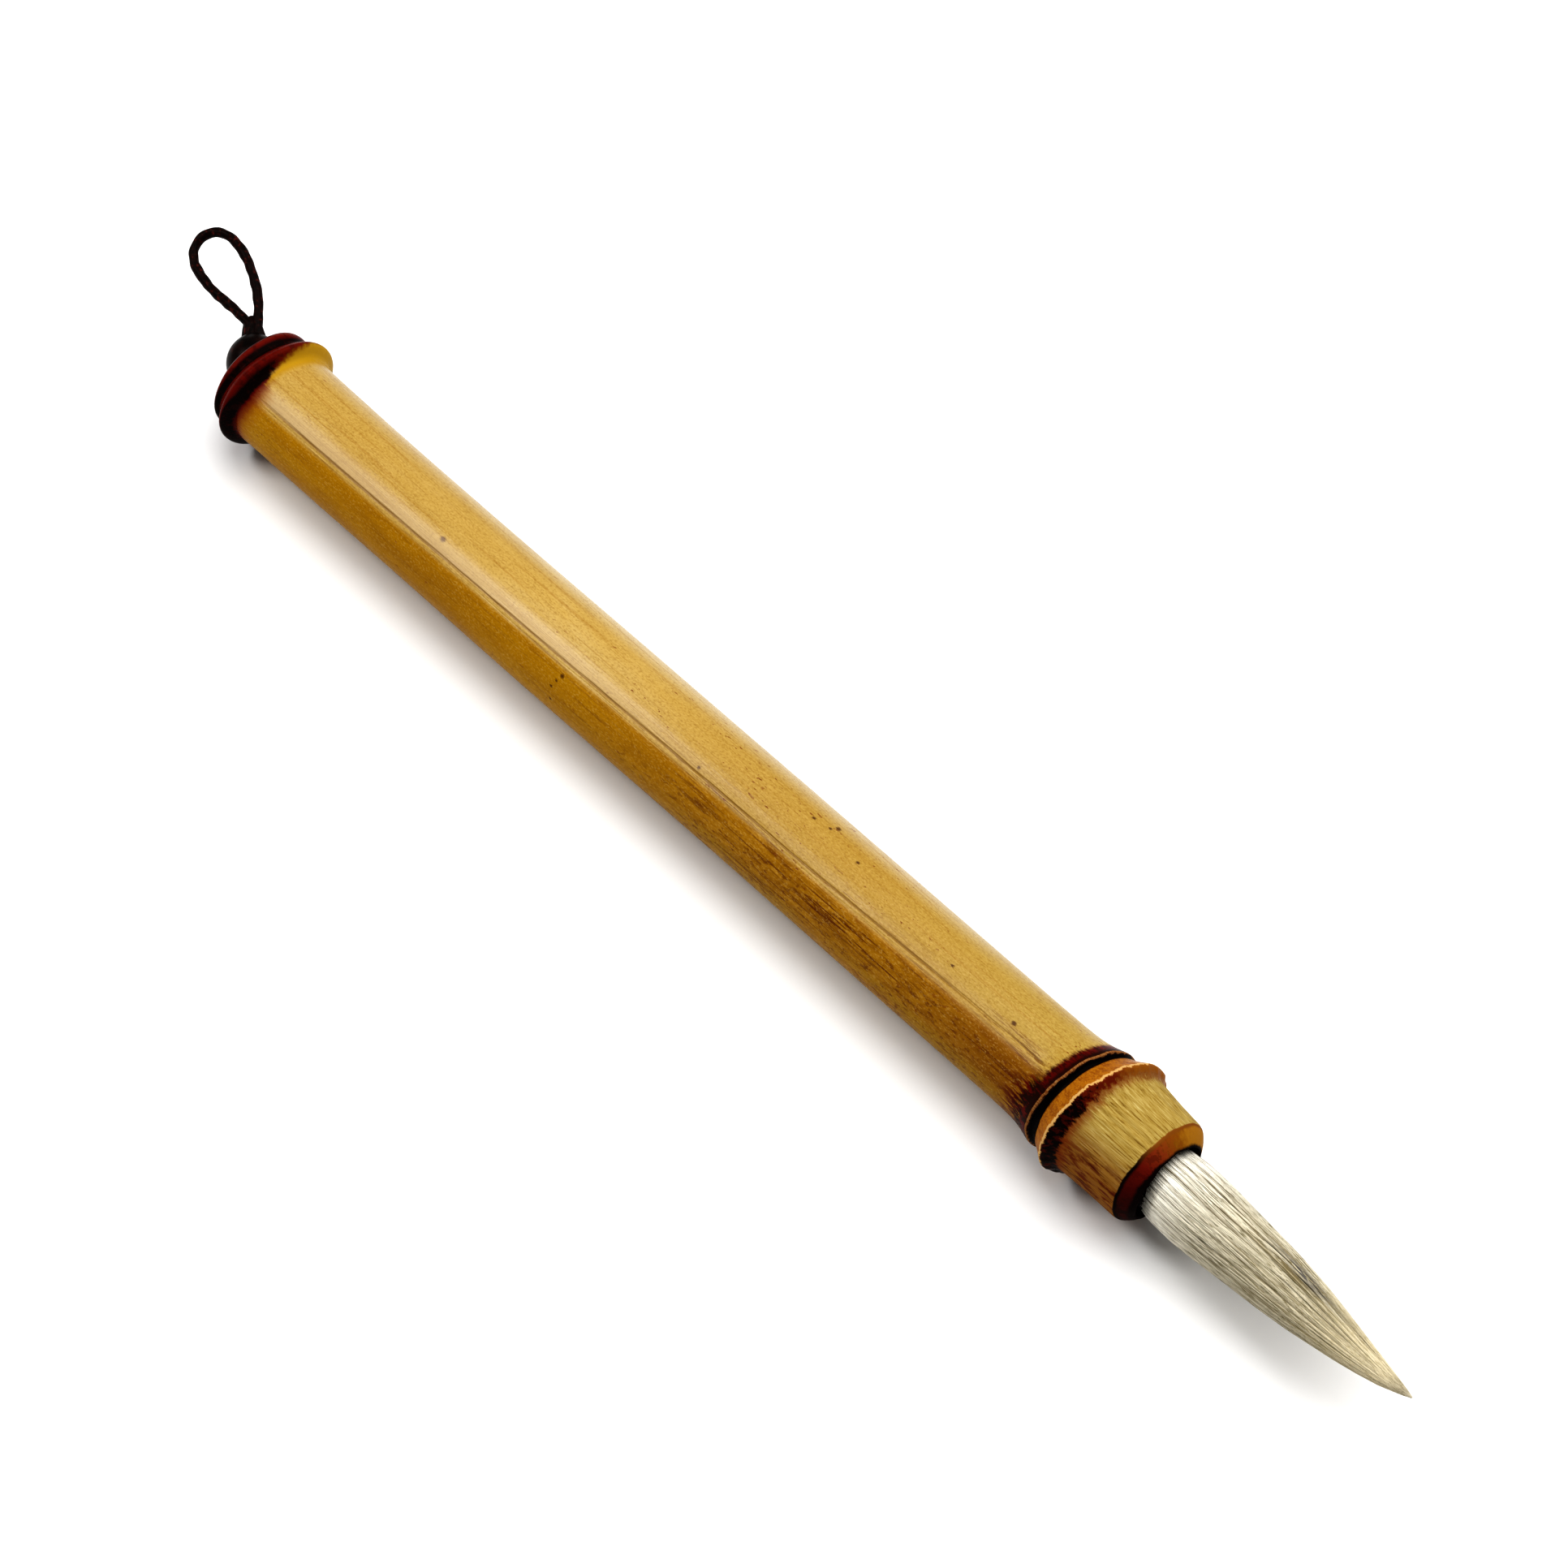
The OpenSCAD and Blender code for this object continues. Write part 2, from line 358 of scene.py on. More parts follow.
def paint_ground(s):
    """Honey yellow above the groove, paler partly from its own colour and partly from a painted reflection;
    deep amber below it, browner towards the lower node.
    """
    # painted reflection, in part: the honey yellow above the groove carries the pale sheen a reflection
    # would give, besides the skin's own colour
    s.skin, _ = s.ramp(s.clouds, [
        (0.30, (0.37, 0.235, 0.055)), (0.50, (0.42, 0.28, 0.080)), (0.72, (0.45, 0.32, 0.120)),
    ])
    amber, _ = s.ramp(s.clouds, [
        (0.30, (0.28, 0.130, 0.002)), (0.50, (0.335, 0.165, 0.002)), (0.70, (0.355, 0.185, 0.004)),
    ])
    brown, _ = s.ramp(s.flames, [
        (0.36, (0.20, 0.080, 0.003)), (0.50, (0.28, 0.130, 0.006)), (0.66, (0.36, 0.185, 0.018)),
    ])
    amber = s.mix(s.times(s.low_half, 0.85), amber, brown)
    s.paint(s.times(s.low_half, 0.75), (0.335, 0.205, 0.036))
    # painted highlight: the far edge of the shaft is paled towards a pale beige
    painted_rim_highlight = s.times(s.step(s.far, 0.70, 1.0), s.step(s.station, 8, 12), s.step(s.station, 160, 140))
    s.paint(s.times(painted_rim_highlight, 0.55), (0.50, 0.41, 0.25))
    s.paint(s.times(s.step(s.station, 70, 30), 0.45), (0.345, 0.215, 0.045))
    below = s.times(s.step(s.shaken(s.off, 0.5, s.fibres), 0.45, 1.25), s.front)
    darker = s.step(s.shaken(s.station, 20, s.clouds), 138, 160)
    amber = s.mix(s.times(darker, 0.55), amber, (0.15, 0.045, 0.003))
    # painted shade: the near lower edge of the lower half turns olive-brown where less light bounces up from
    # the table
    low_edge_shade = s.times(s.step(s.far, -0.70, -0.86), s.step(s.clouds, 0.30, 0.60), s.low_half)
    amber = s.mix(s.times(low_edge_shade, 0.7), amber, (0.30, 0.17, 0.010))
    s.paint(below, amber)
    green = s.times(s.step(s.station, 125, 166), s.step(s.far, -0.3, 0.4))
    s.paint(s.times(green, 0.45), (0.37, 0.275, 0.080))
    s.paint(s.times(s.step(s.fibres, 0.52, 0.70), 0.42), (0.26, 0.125, 0.010))
    s.paint(s.times(s.step(s.fine, 0.54, 0.70), 0.34), (0.22, 0.11, 0.010))


def paint_streaks(s):
    """Dark streaks, hairlines and dots below the groove, broken along the fibres."""
    clusters = s.noise((0.10, 0.5, 0.5), detail=2)
    strip = s.times(s.step(s.off, 1.2, 2.3), s.step(s.off, 5.2, 3.6), s.step(clusters, 0.44, 0.54))
    strip = s.times(strip, s.step(s.shaken(s.station, 40, s.clouds), 95, 130))
    streaked = s.times(strip, s.step(s.long_streaks, 0.49, 0.54), s.step(s.fine, 0.42, 0.54))
    s.paint(streaked, (0.075, 0.012, 0.002))
    hairlines = s.times(s.step(s.long_streaks, 0.55, 0.59), s.step(s.fine, 0.42, 0.52))
    hairlines = s.times(hairlines, s.step(s.off, -2.5, 0.5), s.front)
    hairlines = s.times(hairlines, s.plus(s.times(s.low_half, 0.5), 0.25))
    s.paint(hairlines, (0.11, 0.030, 0.003))
    dots = s.noise((0.8, 2.2, 2.2), detail=3)
    peppered = s.times(s.step(dots, 0.575, 0.625), s.step(s.off, 1.8, 3.0), s.front)
    peppered = s.times(peppered, s.step(s.shaken(s.station, 60, s.clouds), 70, 115))
    s.paint(s.times(peppered, 0.7), (0.11, 0.030, 0.004))


def paint_blotches(s):
    """Scattered blotches and specks."""
    blots = s.noise((0.45, 1.0, 1.0), detail=2, roughness=0.5)
    s.paint(s.times(s.step(blots, 0.725, 0.76), 0.6), (0.17, 0.050, 0.006))
    specks = s.noise((0.9, 2.6, 2.6), detail=2)
    crowd = s.step(s.plus(s.clouds, s.times(s.low_half, 0.10)), 0.55, 0.66)
    s.paint(s.times(s.step(specks, 0.66, 0.71), crowd), (0.16, 0.045, 0.006))
    # a mottled grain all over
    s.paint(s.times(s.step(s.grain, 0.50, 0.68), 0.36), (0.20, 0.095, 0.006))
    s.paint(s.times(s.step(s.grain, 0.48, 0.30), 0.26), (0.54, 0.38, 0.13))


def paint_marks(s):
    """The larger dark marks."""
    for mark, beside, size in MARKS:
        along = s.math("DIVIDE", s.minus(s.shaken(s.station, 0.9, s.fine), mark), 1.25)
        aside = s.minus(s.shaken(s.off, 0.5, s.fine), beside)
        apart = s.math("SQRT", s.plus(s.math("POWER", along, 2.0), s.math("POWER", aside, 2.0)))
        s.paint(s.times(s.step(apart, size, 0.3 * size), 0.9), (0.07, 0.022, 0.004))


def paint_groove_line(s):
    """The lengthwise groove's line, with a paler strip above it that is partly the skin's own paleness and
    partly a painted highlight.
    """
    # the pale strip above the groove: partly the skin's own colour, partly a painted highlight
    lip = s.times(s.step(s.off, -2.7, -0.7), s.step(s.off, 0.15, -0.15), s.shaft)
    s.paint(s.times(lip, s.step(s.shaken(s.station, 30, s.clouds), 115, 65), 0.45), (0.54, 0.41, 0.27))
    wavy = s.shaken(s.off, 0.25, s.fine)
    line = s.times(s.step(wavy, -0.30, -0.05), s.step(wavy, 0.32, 0.05), s.shaft)
    s.paint(s.times(line, s.step(s.fibres, 0.34, 0.50), 0.75), (0.16, 0.075, 0.006))
    twin = s.times(s.step(wavy, 0.50, 0.66), s.step(wavy, 0.90, 0.72), s.shaft)
    s.paint(s.times(twin, s.step(s.long_streaks, 0.44, 0.52), 0.5), (0.17, 0.080, 0.006))


def paint_scorching(s):
    """Scorching that licks along the fibres above the lower node."""
    a = SCAR_S
    licked = s.shaken(s.station, 4.5)
    near_low = s.step(s.far, 0.05, -0.7)
    until_scar = s.step(s.station, a + 0.9, a + 0.5)
    red = s.times(s.step(licked, a - 8.0, a - 3.5), until_scar, near_low, s.step(s.licks, 0.44, 0.53))
    s.paint(red, MAROON)
    smudge = s.times(s.step(licked, a - 6.0, a - 2.0), until_scar, near_low, s.step(s.licks, 0.50, 0.58))
    s.paint(smudge, CHAR)


def paint_top_node(s):
    """Black and maroon rings, a fringe that fades on the near side and a golden far side."""
    ragged = s.shaken(s.station, 1.1)
    crisp = s.shaken(s.station, 0.3)
    blacker = s.plus(crisp, s.times(s.step(s.far, -0.15, -0.95), 0.5))
    low_side = s.times(s.step(s.far, -0.40, -0.90), s.step(s.station, 6.8, 7.8))
    blacker = s.plus(blacker, low_side)
    ragged = s.plus(ragged, s.times(low_side, 1.2))
    top_near, top_near_a = s.bands(blacker, 0, 20, [
        (0.0, BLACK), (3.1, BLACK), (3.35, MAROON), (3.7, (0.12, 0.010, 0.005)), (4.1, MAROON),
        (4.4, BLACK), (5.3, BLACK), (5.5, MAROON), (6.8, (0.11, 0.006, 0.002)), (7.8, MAROON),
        (8.1, BLACK), (9.3, BLACK), (20, BLACK, 0.0),
    ])
    fringe_near, fringe_near_a = s.bands(ragged, 0, 20, [
        (0.0, BLACK, 0.0), (8.3, BLACK, 0.0), (8.6, BLACK), (9.2, BLACK), (9.6, MAROON),
        (10.6, RED_BROWN, 0.85), (11.8, (0.25, 0.085, 0.006), 0.45), (13.8, ORANGE, 0.0), (20, ORANGE, 0.0),
    ])
    top_far, top_far_a = s.bands(crisp, 0, 20, [
        (0.0, BLACK), (2.6, BLACK), (3.1, MAROON), (3.7, (0.12, 0.015, 0.006)), (4.3, MAROON),
        (4.6, BLACK), (5.2, BLACK), (5.5, MAROON), (8.4, (0.12, 0.010, 0.003)), (9.2, RED_BROWN, 0.6),
        (10.2, RED_BROWN, 0.0), (20, RED_BROWN, 0.0),
    ])
    turned_far = s.plus(s.shaken(s.far, 0.5), s.times(s.minus(s.station, 6.8), 0.10))
    s.paint(s.times(fringe_near_a, s.step(turned_far, 0.62, 0.40)), fringe_near)
    near_end = s.plus(s.station, s.times(low_side, 1.3))
    s.paint(s.times(top_near_a, s.step(turned_far, 0.75, 0.68), s.step(near_end, 9.2, 8.6)), top_near)
    s.paint(s.times(top_far_a, s.step(turned_far, 0.40, 0.66)), top_far)

    scuffed = s.times(s.step(s.flames, 0.50, 0.62), s.step(s.station, 9.3, 8.6), 0.5)
    s.paint(scuffed, (0.030, 0.003, 0.002))
    climbing = s.plus(s.shaken(s.station, 1.1), s.times(s.minus(s.far, 0.5), 2.8))
    gilt = s.times(s.step(climbing, 8.20, 9.10), s.step(s.station, 6.8, 7.2), s.step(turned_far, 0.30, 0.50))
    s.paint(s.times(gilt, s.step(s.station, 11.0, 9.3)), GOLD)


def paint_neck(s):
    """The shaved neck: bare wood with open fibres."""
    r = LOW_RIDGE_S
    wood, _ = s.ramp(s.neck_fibres, [
        (0.32, (0.13, 0.062, 0.007)), (0.44, (0.29, 0.195, 0.044)),
        (0.58, (0.38, 0.280, 0.090)), (0.72, (0.50, 0.41, 0.18)),
    ])
    wood = s.mix(s.times(s.step(s.far, 0.0, -0.8), 0.80), wood, (0.19, 0.060, 0.003))
    nicks = s.times(s.step(s.neck_fibres, 0.44, 0.36), s.step(s.far, -0.05, -0.6))
    wood = s.mix(s.times(s.step(s.flames, 0.46, 0.58), s.step(s.far, -0.25, -0.75), 0.8), wood, MAROON)
    s.paint(s.step(s.station, r + 0.6, r + 1.6), s.mix(nicks, wood, (0.05, 0.006, 0.002)))


def paint_low_node(s):
    """The lower node: stain, sheath scar, orange band and a painted highlight along the ridge's edge."""
    a = SCAR_S
    r = LOW_RIDGE_S
    stain_edge = s.shaken(s.shaken(s.station, 1.8, s.licks), 1.0)
    stain = s.times(s.step(stain_edge, a - 2.6, a - 1.7), s.step(s.station, a + 0.9, a + 0.5))
    s.paint(stain, s.mix(s.step(s.licks, 0.46, 0.56), MAROON, (0.035, 0.004, 0.002)))
    tan = s.mix(s.step(s.fine, 0.62, 0.42), (0.17, 0.055, 0.012), SCAR_TAN)
    node, node_a = s.bands(s.edge, a - 5, r + 7, [
        (a - 5, MAROON, 0.0), (a - 1.4, MAROON, 0.0), (a - 0.8, CHAR, 0.8), (a - 0.4, CHAR),
        (a + 0.8, CHAR), (a + 1.1, (0.30, 0.115, 0.006)), (r - 0.6, (0.34, 0.130, 0.007)), (r + 0.3, ORANGE),
        (r + 0.5, ORANGE, 0.0), (r + 7, ORANGE, 0.0),
    ])
    s.paint(node_a, node)
    band = s.times(s.step(s.edge, a + 0.8, a + 1.1), s.step(s.station, r + 0.4, r + 0.2))
    s.paint(s.times(band, s.step(s.fine, 0.46, 0.62), 0.65), (0.20, 0.062, 0.005))
    s.paint(s.times(band, s.step(s.flames, 0.44, 0.58), 0.70), (0.18, 0.050, 0.004))
    s.paint(s.times(band, s.step(s.grain, 0.52, 0.36), 0.35), (0.44, 0.20, 0.020))
    s.paint(s.times(s.step(s.edge, a - 0.40, a - 0.32), s.step(s.edge, a, a - 0.06)), tan)
    # painted highlight: a bright line along the ridge's edge
    painted_ridge_highlight = s.times(s.step(s.scallop, r - 0.42, r - 0.24), s.step(s.scallop, r + 0.16, r + 0.02))
    s.paint(s.times(painted_ridge_highlight, 0.85), (0.56, 0.36, 0.14))


def paint_burnt_bands(s):
    """The burnt band behind the ridge, the charred skin before the scar, and the groove under the scar
    painted black as painted shade.
    """
    a = SCAR_S
    r = LOW_RIDGE_S
    burn_end = s.plus(s.scallop, s.times(s.step(s.shaken(s.far, 0.5), -0.05, 0.45), 0.75))
    burn_end = s.shaken(burn_end, 1.1, s.licks)
    burnt = s.times(s.step(s.scallop, r, r + 0.18), s.step(burn_end, r + 1.8, r + 1.35))
    singed = s.times(s.step(s.scallop, r, r + 0.18), s.step(burn_end, r + 3.2, r + 1.6))
    dark_side = s.step(s.shaken(s.shaken(s.far, 1.2, s.licks), 0.6), 0.25, -0.10)
    charcoal = s.mix(s.step(s.flames, 0.50, 0.60), BLACK, (0.055, 0.005, 0.002))
    burn_colour = s.mix(dark_side, (0.12, 0.014, 0.003), charcoal)
    burn_colour = s.mix(s.step(s.shaken(s.far, 0.4), 0.50, 0.85), burn_colour, (0.24, 0.085, 0.008))
    s.paint(s.times(singed, 0.75), (0.16, 0.030, 0.004))
    s.paint(burnt, burn_colour)
    licked = s.shaken(s.station, 4.5)
    charred = s.times(s.step(licked, a - 3.8, a - 2.6), s.step(s.far, 0.0, -0.35))
    charred = s.times(charred, s.step(s.licks, 0.36, 0.46), s.step(s.edge, a - 0.36, a - 0.60))
    s.paint(charred, s.mix(s.step(s.flames, 0.50, 0.58), CHAR, MAROON))
    # painted shade: the groove under the sheath scar is painted near black, wider on the near side
    wide = s.plus(s.edge, s.times(s.far, 0.32))
    groove = s.times(s.step(s.edge, a, a + 0.05), s.step(wide, a + 0.80, a + 0.66))
    s.paint(groove, (0.003, 0.0012, 0.001))


def paint_mouth(s):
    """The bevelled mouth: orange on the far side, stained dark red on the near side; the socket's inside is
    painted black as painted shade.
    """
    round_mouth = s.shaken(s.plus(s.times(s.far, 0.5), 0.5), 0.35)
    bevel, _ = s.ramp(round_mouth, [
        (0.0, CHAR), (0.20, (0.062, 0.004, 0.002)), (0.46, (0.125, 0.010, 0.004)),
        (0.62, (0.20, 0.035, 0.008)), (0.83, (0.22, 0.080, 0.005)), (0.94, (0.32, 0.145, 0.010)),
    ])
    mottled = s.times(s.step(s.flames, 0.49, 0.60), s.step(s.far, 0.75, 0.20), 0.55)
    bevel = s.mix(mottled, bevel, (0.050, 0.003, 0.002))
    mouth = s.shaken(s.station, 0.3)
    rim_dark = s.mix(s.step(s.far, 0.4, -0.2), (0.19, 0.065, 0.008), BLACK)
    bevel = s.mix(s.step(mouth, RIM_S + 0.40, RIM_S + 0.12), bevel, rim_dark)
    lip_edge = s.plus(mouth, s.times(s.step(s.far, 0.5, -0.6), 0.30))
    bevel = s.mix(s.step(lip_edge, CULM_L - 0.34, CULM_L - 0.10), bevel, BLACK)
    s.paint(s.step(mouth, RIM_S - 0.16, RIM_S - 0.02), bevel)
    # painted shade: the inside of the socket is painted black
    s.paint(s.attribute("inside"), BLACK)


def bamboo_material():
    s = Bamboo()
    paint_ground(s)
    paint_streaks(s)
    paint_blotches(s)
    paint_marks(s)
    paint_groove_line(s)
    paint_scorching(s)
    paint_top_node(s)
    paint_neck(s)
    paint_low_node(s)
    paint_burnt_bands(s)
    paint_mouth(s)
    worn = s.times(s.noise((0.10, 0.5, 0.5), detail=3), 0.25)
    bare = s.step(s.station, LOW_RIDGE_S + 0.8, LOW_RIDGE_S + 2.0)
    rough = s.plus(s.plus(worn, 0.14), s.times(bare, 0.28))
    low_bump = s.bump(s.fibres, 0.05, 0.35)
    normal = s.bump(s.mix(bare, s.fine, s.neck_fibres), 0.06, 0.5, under=low_bump)
    gloss = s.plus(s.times(s.shaft, s.step(s.off, 1.8, 0.2), 0.13), 0.015)
    s.set(base_color=s.skin, roughness=rough, normal=normal, specular_ior_level=gloss)
    return s.material


def hair_material(name, pale, dark):
    """Goat hair: pale at the root, where painted light lifts it out of the lip's shadow; olive in the shade
    of the locks and dark lines between the hairs, both painted shade; cream at the tip; a dark root that is
    partly glue and partly painted shade.
    """
    s = Shader(name)
    reach = s.attribute("reach")
    streaks = s.noise((0.09, 3.6, 3.6), detail=4, roughness=0.65)
    lit = s.plus(s.attribute("tone"), s.minus(streaks, 0.5))
    lines = s.noise((0.05, 9.0, 9.0), detail=3, roughness=0.6)
    # painted light: the root is painted brighter to lift it out of the shadow of the lip
    pale = s.mix(s.step(reach, 0.25, 0.0), pale, (0.90, 0.865, 0.77))
    colour = s.mix(s.step(lit, 0.12, 0.58), dark, pale)
    olive = s.times(s.step(reach, 0.25, 0.60), s.step(lit, 0.65, 0.25))
    colour = s.mix(s.times(olive, 0.6), colour, (0.20, 0.155, 0.070))
    # painted shade: thin dark lines between the hairs
    dark_lines = s.times(s.step(lines, 0.55, 0.62), s.step(reach, 0.0, 0.2))
    colour = s.mix(s.times(dark_lines, 0.82), colour, (0.105, 0.082, 0.024))
    creamy = s.plus(reach, s.times(s.minus(streaks, 0.5), 0.3))
    colour = s.mix(s.times(s.step(creamy, 0.50, 0.90), 0.80), colour, (0.74, 0.65, 0.45))
    middle = s.times(s.step(reach, 0.18, 0.45), s.step(reach, 0.90, 0.70))
    colour = s.mix(s.times(middle, 0.22), colour, (0.34, 0.27, 0.115))
    colour = s.mix(s.times(s.step(reach, 0.90, 1.0), 0.4), colour, (0.90, 0.83, 0.66))
    tip_lines = s.times(s.step(lines, 0.52, 0.62), s.step(reach, 0.60, 0.85))
    colour = s.mix(tip_lines, colour, (0.50, 0.42, 0.25))
    ashen = s.times(s.attribute("ash"), s.step(streaks, 0.42, 0.50))
    colour = s.mix(ashen, colour, (0.075, 0.066, 0.062))
    # the dark root: partly glue, partly painted shade in the gap under the lip
    colour = s.mix(s.attribute("glue_and_shade"), colour, (0.012, 0.005, 0.003))
    s.set(base_color=colour, roughness=0.5, specular_ior_level=0.2)
    s.set(normal=s.bump(s.noise((0.15, 9.0, 9.0), detail=2), 0.03, 0.4))
    s.set(sheen_weight=0.1, sheen_roughness=0.4)
    return s.material


def lacquer_material():
    s = Shader("dark_lacquer")
    mottle = s.noise((0.6, 0.6, 0.6), detail=4)
    colour, _ = s.ramp(mottle, [
        (0.40, (0.003, 0.0015, 0.001)), (0.62, (0.010, 0.003, 0.002)), (0.8, (0.05, 0.010, 0.005)),
    ])
    s.set(base_color=colour, roughness=s.plus(s.times(mottle, 0.25), 0.22))
    s.set(normal=s.bump(s.noise((1.2, 1.2, 1.2), detail=3), 0.06, 0.5), specular_ior_level=0.05)
    return s.material


def cord_material():
    s = Shader("waxed_cord")
    grain = s.noise((1.6, 1.6, 1.6), detail=4)
    colour, _ = s.ramp(grain, [
        (0.35, (0.003, 0.0015, 0.001)), (0.57, (0.010, 0.003, 0.002)), (0.70, (0.080, 0.012, 0.008)),
    ])
    s.set(base_color=colour, roughness=s.plus(s.times(grain, 0.3), 0.28))
    s.set(normal=s.bump(s.noise((4.0, 4.0, 4.0), detail=3), 0.03, 0.6), specular_ior_level=0.04)
    return s.material


def plain_material(name, light, dark, per_mm, roughness):
    """A grainy material for the pieces that stay inside."""
    s = Shader(name)
    grain = s.noise(per_mm, detail=4)
    colour, _ = s.ramp(grain, [(0.35, dark), (0.65, light)])
    s.set(base_color=colour, roughness=s.plus(s.times(grain, 0.3), roughness))
    s.set(normal=s.bump(grain, 0.05, 0.5))
    return s.material


def table_material():
    s = Shader("white_table")
    grain = s.noise((0.004, 0.004, 0.004), detail=2)
    colour, _ = s.ramp(grain, [(0.3, (0.78, 0.775, 0.77)), (0.7, (0.80, 0.797, 0.793))])
    s.set(base_color=colour, roughness=0.5, specular_ior_level=0.25)
    return s.material


# -------------------- camera, light and table

# The camera looks down on the brush at these angles, from this far, at this point level with its axis.
VIEW_AZIMUTH = 49.4
VIEW_ELEVATION = 48.3
VIEW_DISTANCE = 681.0
LOOK_AT = (-4.67, 6.04)
LENS = 123.7
TABLE_REACH = 3000.0
# The lights' distance and their sizes are in metres.
LIGHT_DISTANCE = 1.2


def make_camera():
    azimuth, elevation = math.radians(VIEW_AZIMUTH), math.radians(VIEW_ELEVATION)
    back = Vector((
        math.sin(azimuth) * math.cos(elevation),
        -math.cos(azimuth) * math.cos(elevation),
        math.sin(elevation),
    ))
    data = bpy.data.cameras.new("camera")
    data.lens = LENS
    data.sensor_width = 36
    data.clip_start = 0.01
    data.clip_end = 20
    camera = bpy.data.objects.new("camera", data)
    camera.rotation_mode = "QUATERNION"
    camera.location = Vector((LOOK_AT[0] * MM, LOOK_AT[1] * MM, AXIS_Z * MM)) + back * VIEW_DISTANCE * MM
    camera.rotation_quaternion = (-back).to_track_quat("-Z", "Y")
    bpy.context.scene.collection.objects.link(camera)
    bpy.context.scene.camera = camera


def area_light(name, direction, width, height, power):
    """A softbox in a direction from the middle of the brush."""
    data = bpy.data.lights.new(name, "AREA")
    data.shape = "RECTANGLE"
    data.size = width
    data.size_y = height
    data.energy = power
    light = bpy.data.objects.new(name, data)
    away = Vector(direction).normalized()
    light.location = away * LIGHT_DISTANCE
    light.rotation_mode = "QUATERNION"
    light.rotation_quaternion = away.to_track_quat("Z", "X")
    bpy.context.scene.collection.objects.link(light)


def make_studio():
    corners = [(x * TABLE_REACH, y * TABLE_REACH, FLOOR_Z) for x, y in ((-1, -1), (1, -1), (1, 1), (-1, 1))]
    table = mesh_piece("table", corners, [(0, 1, 2, 3)])
    table.data.materials.append(table_material())
    world = bpy.data.worlds.new("studio")
    world.use_nodes = True
    world.node_tree.nodes["Background"].inputs[0].default_value = (1.0, 0.99, 0.98, 1)
    world.node_tree.nodes["Background"].inputs[1].default_value = 0.24
    bpy.context.scene.world = world
    area_light("overhead", (0.1, 0.30, 1.0), 1.5, 1.5, 18.5)
    area_light("window", (-0.505, -0.42, 0.72), 0.30, 0.42, 5)
    bpy.context.scene.view_settings.view_transform = "Standard"
    bpy.context.scene.view_settings.look = "High Contrast"


# -------------------- hanging loop

# The knob's radius, its centre's station and offset towards FAR, and the slant of the cord's tails,
# its thickness and each tail's offset from the middle, as in the CAD model
KNOB_R = 3.9
KNOB_S = 1.1
KNOB_LEAN = 1.1
TAIL_LEAN = math.radians(40)
CORD_D = 1.4
TAIL_STEP = 0.725
# The columns round the cord
LOOP_SIDES = 20

# The loop's route in its own plane: along the brush and towards FAR, from the knob's centre
LOOP_ROUTE = [
    (-4.1, 4.4), (-5.7, 6.0), (-8.1, 7.8), (-11.0, 9.3), (-13.3, 10.2), (-15.6, 10.7),
    (-17.4, 10.8), (-18.9, 10.5), (-20.1, 9.8), (-20.9, 8.8), (-21.1, 7.5), (-20.8, 6.4),
    (-19.9, 5.4), (-18.4, 4.6), (-15.9, 4.0), (-13.3, 3.7), (-10.7, 3.7), (-8.5, 3.7),
    (-6.7, 3.6), (-5.0, 3.4),
]
OUT = np.array([-math.cos(TAIL_LEAN), math.sin(TAIL_LEAN)])
BESIDE = np.array([math.sin(TAIL_LEAN), math.cos(TAIL_LEAN)])


def from_knob(points, facing=0.0):
    """Points in millimetres from places in the loop's plane, measured from the knob's centre."""
    points = np.asarray(points, float)
    return place(points[..., 0] + KNOB_S, points[..., 1] + KNOB_LEAN, facing)


def loop_bend():
    """Two points on the tails' slant out from the knob, 0.1 mm and 3 mm beyond its surface, in metres."""
    return from_knob(OUT * (KNOB_R + 0.1)) * MM, from_knob(OUT * (KNOB_R + 3.0)) * MM


def make_loop():
    """The waxed cord: three twisted strands, a little uneven along its length."""
    tail_a = [OUT * reach + BESIDE * TAIL_STEP for reach in (3.3, 4.7)]
    tail_b = [OUT * reach - BESIDE * TAIL_STEP for reach in (4.7, 3.3)]
    path = smooth_path(np.array([*tail_a, *LOOP_ROUTE, *tail_b]), 7)
    heading = np.gradient(path, axis=0)
    heading /= np.linalg.norm(heading, axis=1)[:, None]
    normal = np.stack([-heading[:, 1], heading[:, 0]], 1)
    turn = even_turns(LOOP_SIDES)
    length = np.concatenate([[0], np.cumsum(np.linalg.norm(np.diff(path, axis=0), axis=1))])
    strands = 0.035 * np.cos(3 * (turn[None, :] + length[:, None] * 0.9))
    uneven = 0.03 * np.sin(length * 0.9 + 1) + 0.02 * np.sin(length * 2.3)
    radius = CORD_D / 2 * 0.98 + strands + uneven[:, None]
    in_plane = radius * np.cos(turn)
    flat = path[:, None, :] + in_plane[..., None] * normal[:, None, :]
    rows = from_knob(flat, radius * np.sin(turn))
    loop = lathe_piece("loop_cord", rows, {})
    loop.data.materials.append(cord_material())
    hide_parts("hanging_loop", "loop_tails")
    root, free = loop_bend()
    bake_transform(loop)
    leaves_at = from_knob(OUT * KNOB_R + BESIDE * TAIL_STEP) * MM
    (from_knob(path) * MM).tolist()


